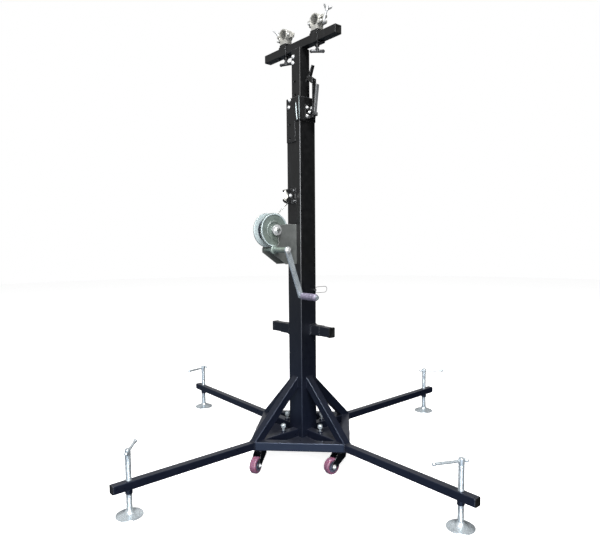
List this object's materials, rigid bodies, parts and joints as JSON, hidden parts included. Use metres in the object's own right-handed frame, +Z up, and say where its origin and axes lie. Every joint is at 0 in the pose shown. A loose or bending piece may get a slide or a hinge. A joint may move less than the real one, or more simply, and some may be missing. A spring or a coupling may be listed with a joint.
{
  "type": "crank lighting stand",
  "caption": "Square-tube telescopic lighting stand with hand winch, top bar with pipe clamps, sliding outriggers on screw jacks and swivel casters.",
  "frame": {"origin": "on the floor plane at the mast's vertical axis", "axes": "+Z up, +X along the top bar, -Y is the winch side of the mast"},
  "size_m": [2.086, 2.1096, 2.1776],
  "materials": {
    "black_paint": "satin",
    "zinc": "satin",
    "cast_aluminium": "satin",
    "red_tread": "satin",
    "nylon": "matte",
    "steel_rope": "satin",
    "grip_plastic": "satin"
  },
  "bodies": {
    "stand": {"base_frame": "black_paint", "mast_outer": "black_paint", "slide_pads": "nylon", "head_collar": "black_paint", "latch_bracket": "black_paint", "pulley_bracket": "black_paint", "winch_frame": "zinc", "rope": "steel_rope", "storage_brackets": "black_paint", "caster_plates": "zinc", "safety_ring": "zinc"},
    "middle_mast": {"mast_middle": "black_paint"},
    "inner_mast": {"mast_inner": "black_paint", "t_bar": "black_paint"},
    "latch_pawl": {"latch_pawl": "black_paint"},
    "latch_release": {"latch_release": "zinc"},
    "guide_pulley": {"guide_pulley": "nylon"},
    "winch_drum": {"winch_drum": "zinc", "rope_turns": "steel_rope"},
    "crank": {"winch_pinion": "zinc", "crank_arm": "zinc"},
    "crank_grip": {"crank_grip": "grip_plastic"},
    "outrigger_right": {"outrigger_right": "black_paint"},
    "lock_right": {"outrigger_lock_right": "zinc"},
    "jack_foot_right": {"jack_foot_right": "zinc"},
    "jack_screw_right": {"jack_screw_right": "zinc"},
    "jack_bar_right": {"jack_bar_right": "zinc"},
    "caster_fork_right": {"caster_fork_right": "zinc"},
    "caster_wheel_right": {"caster_wheel_right": "red_tread"},
    "outrigger_back": {"outrigger_back": "black_paint"},
    "lock_back": {"outrigger_lock_back": "zinc"},
    "jack_foot_back": {"jack_foot_back": "zinc"},
    "jack_screw_back": {"jack_screw_back": "zinc"},
    "jack_bar_back": {"jack_bar_back": "zinc"},
    "caster_fork_back": {"caster_fork_back": "zinc"},
    "caster_wheel_back": {"caster_wheel_back": "red_tread"},
    "outrigger_left": {"outrigger_left": "black_paint"},
    "lock_left": {"outrigger_lock_left": "zinc"},
    "jack_foot_left": {"jack_foot_left": "zinc"},
    "jack_screw_left": {"jack_screw_left": "zinc"},
    "jack_bar_left": {"jack_bar_left": "zinc"},
    "caster_fork_left": {"caster_fork_left": "zinc"},
    "caster_wheel_left": {"caster_wheel_left": "red_tread"},
    "outrigger_front": {"outrigger_front": "black_paint"},
    "lock_front": {"outrigger_lock_front": "zinc"},
    "jack_foot_front": {"jack_foot_front": "zinc"},
    "jack_screw_front": {"jack_screw_front": "zinc"},
    "jack_bar_front": {"jack_bar_front": "zinc"},
    "caster_fork_front": {"caster_fork_front": "zinc"},
    "caster_wheel_front": {"caster_wheel_front": "red_tread"},
    "sleeve_right": {"sleeve_right": "black_paint", "clamp_saddle_right": "cast_aluminium"},
    "sleeve_screw_right": {"sleeve_screw_right": "zinc"},
    "clamp_jaw_right": {"clamp_jaw_right": "cast_aluminium"},
    "clamp_bolt_right": {"clamp_bolt_right": "zinc"},
    "sleeve_left": {"sleeve_left": "black_paint", "clamp_saddle_left": "cast_aluminium"},
    "sleeve_screw_left": {"sleeve_screw_left": "zinc"},
    "clamp_jaw_left": {"clamp_jaw_left": "cast_aluminium"},
    "clamp_bolt_left": {"clamp_bolt_left": "zinc"}
  },
  "joints": [
    {"name": "mast_lift", "type": "slide", "parent": "stand", "child": "middle_mast", "axis": [0, 0, 1], "range_m": [0, 1.45]},
    {"name": "inner_mast_lift", "type": "slide", "parent": "middle_mast", "child": "inner_mast", "axis": [0, 0, 1], "range_m": [0, 1.45]},
    {"name": "drum_turn", "type": "hinge", "parent": "stand", "child": "winch_drum", "pos_m": [-0.022, -0.178, 1.151], "axis": [1, 0, 0], "range_deg": [0, 2520]},
    {"name": "crank_turn", "type": "hinge", "parent": "stand", "child": "crank", "pos_m": [0.05, -0.187, 1.05643], "axis": [1, 0, 0], "range_deg": [-13429, 0]},
    {"name": "guide_pulley_turn", "type": "hinge", "parent": "stand", "child": "guide_pulley", "pos_m": [-0.022, -0.069, 1.321], "axis": [1, 0, 0], "range_deg": [-3260, 0]},
    {"name": "grip_spin", "type": "hinge", "parent": "crank", "child": "crank_grip", "pos_m": [0.178, -0.10807, 0.8372], "axis": [1, 0, 0], "continuous": true},
    {"name": "pawl_turn", "type": "hinge", "parent": "stand", "child": "latch_pawl", "pos_m": [0.067, 0, 1.881], "axis": [0, 1, 0], "range_deg": [-8, 22]},
    {"name": "release_turn", "type": "hinge", "parent": "stand", "child": "latch_release", "pos_m": [0.106, 0, 1.704], "axis": [0, 1, 0], "range_deg": [-6, 15]},
    {"name": "outrigger_slide_right", "type": "slide", "parent": "stand", "child": "outrigger_right", "axis": [1, 0, 0], "range_m": [-0.045, 0.1]},
    {"name": "lock_pull_right", "type": "slide", "parent": "stand", "child": "lock_right", "axis": [0, 0, 1], "range_m": [-0.009, 0.008]},
    {"name": "jack_travel_right", "type": "slide", "parent": "outrigger_right", "child": "jack_foot_right", "axis": [0, 0, 1], "range_m": [-0.1, 0.06]},
    {"name": "jack_turn_right", "type": "hinge", "parent": "jack_foot_right", "child": "jack_screw_right", "pos_m": [0.923, 0, 0.15], "axis": [0, 0, 1], "range_deg": [-9001, 5401]},
    {"name": "jack_bar_slide_right", "type": "slide", "parent": "jack_screw_right", "child": "jack_bar_right", "axis": [-0.454, -0.891, 0], "range_m": [-0.09, 0]},
    {"name": "caster_swivel_right", "type": "hinge", "parent": "stand", "child": "caster_fork_right", "pos_m": [0.27, 0, 0.1], "axis": [0, 0, 1], "continuous": true},
    {"name": "caster_roll_right", "type": "hinge", "parent": "caster_fork_right", "child": "caster_wheel_right", "pos_m": [0.26717, -0.05393, 0.0395], "axis": [0.9986, -0.0523, 0], "continuous": true},
    {"name": "outrigger_slide_back", "type": "slide", "parent": "stand", "child": "outrigger_back", "axis": [0, 1, 0], "range_m": [-0.045, 0.1]},
    {"name": "lock_pull_back", "type": "slide", "parent": "stand", "child": "lock_back", "axis": [0, 0, 1], "range_m": [-0.009, 0.008]},
    {"name": "jack_travel_back", "type": "slide", "parent": "outrigger_back", "child": "jack_foot_back", "axis": [0, 0, 1], "range_m": [-0.1, 0.06]},
    {"name": "jack_turn_back", "type": "hinge", "parent": "jack_foot_back", "child": "jack_screw_back", "pos_m": [0, 1.023, 0.15], "axis": [0, 0, 1], "range_deg": [-9001, 5401]},
    {"name": "jack_bar_slide_back", "type": "slide", "parent": "jack_screw_back", "child": "jack_bar_back", "axis": [0.6691, 0.7431, 0], "range_m": [-0.09, 0]},
    {"name": "caster_swivel_back", "type": "hinge", "parent": "stand", "child": "caster_fork_back", "pos_m": [0, 0.27, 0.1], "axis": [0, 0, 1], "continuous": true},
    {"name": "caster_roll_back", "type": "hinge", "parent": "caster_fork_back", "child": "caster_wheel_back", "pos_m": [0.01123, 0.21718, 0.0395], "axis": [0.9781, 0.2079, 0], "continuous": true},
    {"name": "outrigger_slide_left", "type": "slide", "parent": "stand", "child": "outrigger_left", "axis": [-1, 0, 0], "range_m": [-0.045, 0.1]},
    {"name": "lock_pull_left", "type": "slide", "parent": "stand", "child": "lock_left", "axis": [0, 0, 1], "range_m": [-0.009, 0.008]},
    {"name": "jack_travel_left", "type": "slide", "parent": "outrigger_left", "child": "jack_foot_left", "axis": [0, 0, 1], "range_m": [-0.1, 0.06]},
    {"name": "jack_turn_left", "type": "hinge", "parent": "jack_foot_left", "child": "jack_screw_left", "pos_m": [-1.023, 0, 0.15], "axis": [0, 0, 1], "range_deg": [-9001, 5401]},
    {"name": "jack_bar_slide_left", "type": "slide", "parent": "jack_screw_left", "child": "jack_bar_left", "axis": [0.1908, -0.9816, 0], "range_m": [-0.09, 0]},
    {"name": "caster_swivel_left", "type": "hinge", "parent": "stand", "child": "caster_fork_left", "pos_m": [-0.27, 0, 0.1], "axis": [0, 0, 1], "continuous": true},
    {"name": "caster_roll_left", "type": "hinge", "parent": "caster_fork_left", "child": "caster_wheel_left", "pos_m": [-0.28398, -0.05216, 0.0395], "axis": [0.9659, -0.2588, 0], "continuous": true},
    {"name": "outrigger_slide_front", "type": "slide", "parent": "stand", "child": "outrigger_front", "axis": [0, -1, 0], "range_m": [-0.045, 0.1]},
    {"name": "lock_pull_front", "type": "slide", "parent": "stand", "child": "lock_front", "axis": [0, 0, 1], "range_m": [-0.009, 0.008]},
    {"name": "jack_travel_front", "type": "slide", "parent": "outrigger_front", "child": "jack_foot_front", "axis": [0, 0, 1], "range_m": [-0.1, 0.06]},
    {"name": "jack_turn_front", "type": "hinge", "parent": "jack_foot_front", "child": "jack_screw_front", "pos_m": [0, -0.923, 0.15], "axis": [0, 0, 1], "range_deg": [-9001, 5401]},
    {"name": "jack_bar_slide_front", "type": "slide", "parent": "jack_screw_front", "child": "jack_bar_front", "axis": [-0.7986, 0.6018, 0], "range_m": [-0.09, 0]},
    {"name": "caster_swivel_front", "type": "hinge", "parent": "stand", "child": "caster_fork_front", "pos_m": [0, -0.27, 0.1], "axis": [0, 0, 1], "continuous": true},
    {"name": "caster_roll_front", "type": "hinge", "parent": "caster_fork_front", "child": "caster_wheel_front", "pos_m": [0.02451, -0.31811, 0.0395], "axis": [0.891, 0.454, 0], "continuous": true},
    {"name": "sleeve_slide_right", "type": "slide", "parent": "inner_mast", "child": "sleeve_right", "axis": [1, 0, 0], "range_m": [-0.04, 0.1]},
    {"name": "sleeve_screw_turn_right", "type": "hinge", "parent": "sleeve_right", "child": "sleeve_screw_right", "pos_m": [0.123, 0, 2], "axis": [0, 0, 1], "range_deg": [-1080, 0]},
    {"name": "jaw_open_right", "type": "hinge", "parent": "sleeve_right", "child": "clamp_jaw_right", "pos_m": [0.084, 0, 2.124], "axis": [0, -1, 0], "range_deg": [0, 55]},
    {"name": "bolt_swing_right", "type": "hinge", "parent": "sleeve_right", "child": "clamp_bolt_right", "pos_m": [0.166, 0, 2.114], "axis": [0, 1, 0], "range_deg": [0, 83]},
    {"name": "sleeve_slide_left", "type": "slide", "parent": "inner_mast", "child": "sleeve_left", "axis": [-1, 0, 0], "range_m": [-0.03, 0.1]},
    {"name": "sleeve_screw_turn_left", "type": "hinge", "parent": "sleeve_left", "child": "sleeve_screw_left", "pos_m": [-0.112, 0, 2], "axis": [0, 0, 1], "range_deg": [-1080, 0]},
    {"name": "jaw_open_left", "type": "hinge", "parent": "sleeve_left", "child": "clamp_jaw_left", "pos_m": [-0.073, 0, 2.124], "axis": [0, 1, 0], "range_deg": [0, 55]},
    {"name": "bolt_swing_left", "type": "hinge", "parent": "sleeve_left", "child": "clamp_bolt_left", "pos_m": [-0.155, 0, 2.114], "axis": [0, -1, 0], "range_deg": [0, 83]}
  ],
  "couplings": [
    {"joint": "inner_mast_lift", "follows": "mast_lift", "ratio": 1},
    {"joint": "drum_turn", "follows": "mast_lift", "rad_per_m": 30.303},
    {"joint": "crank_turn", "follows": "mast_lift", "rad_per_m": -161.62},
    {"joint": "guide_pulley_turn", "follows": "mast_lift", "rad_per_m": -39.216},
    {"joint": "jack_turn_right", "follows": "jack_travel_right", "rad_per_m": 1570.8},
    {"joint": "jack_turn_back", "follows": "jack_travel_back", "rad_per_m": 1570.8},
    {"joint": "jack_turn_left", "follows": "jack_travel_left", "rad_per_m": 1570.8},
    {"joint": "jack_turn_front", "follows": "jack_travel_front", "rad_per_m": 1570.8},
    {"joint": "bolt_swing_right", "follows": "jaw_open_right", "ratio": 1.5},
    {"joint": "bolt_swing_left", "follows": "jaw_open_left", "ratio": 1.5}
  ]
}
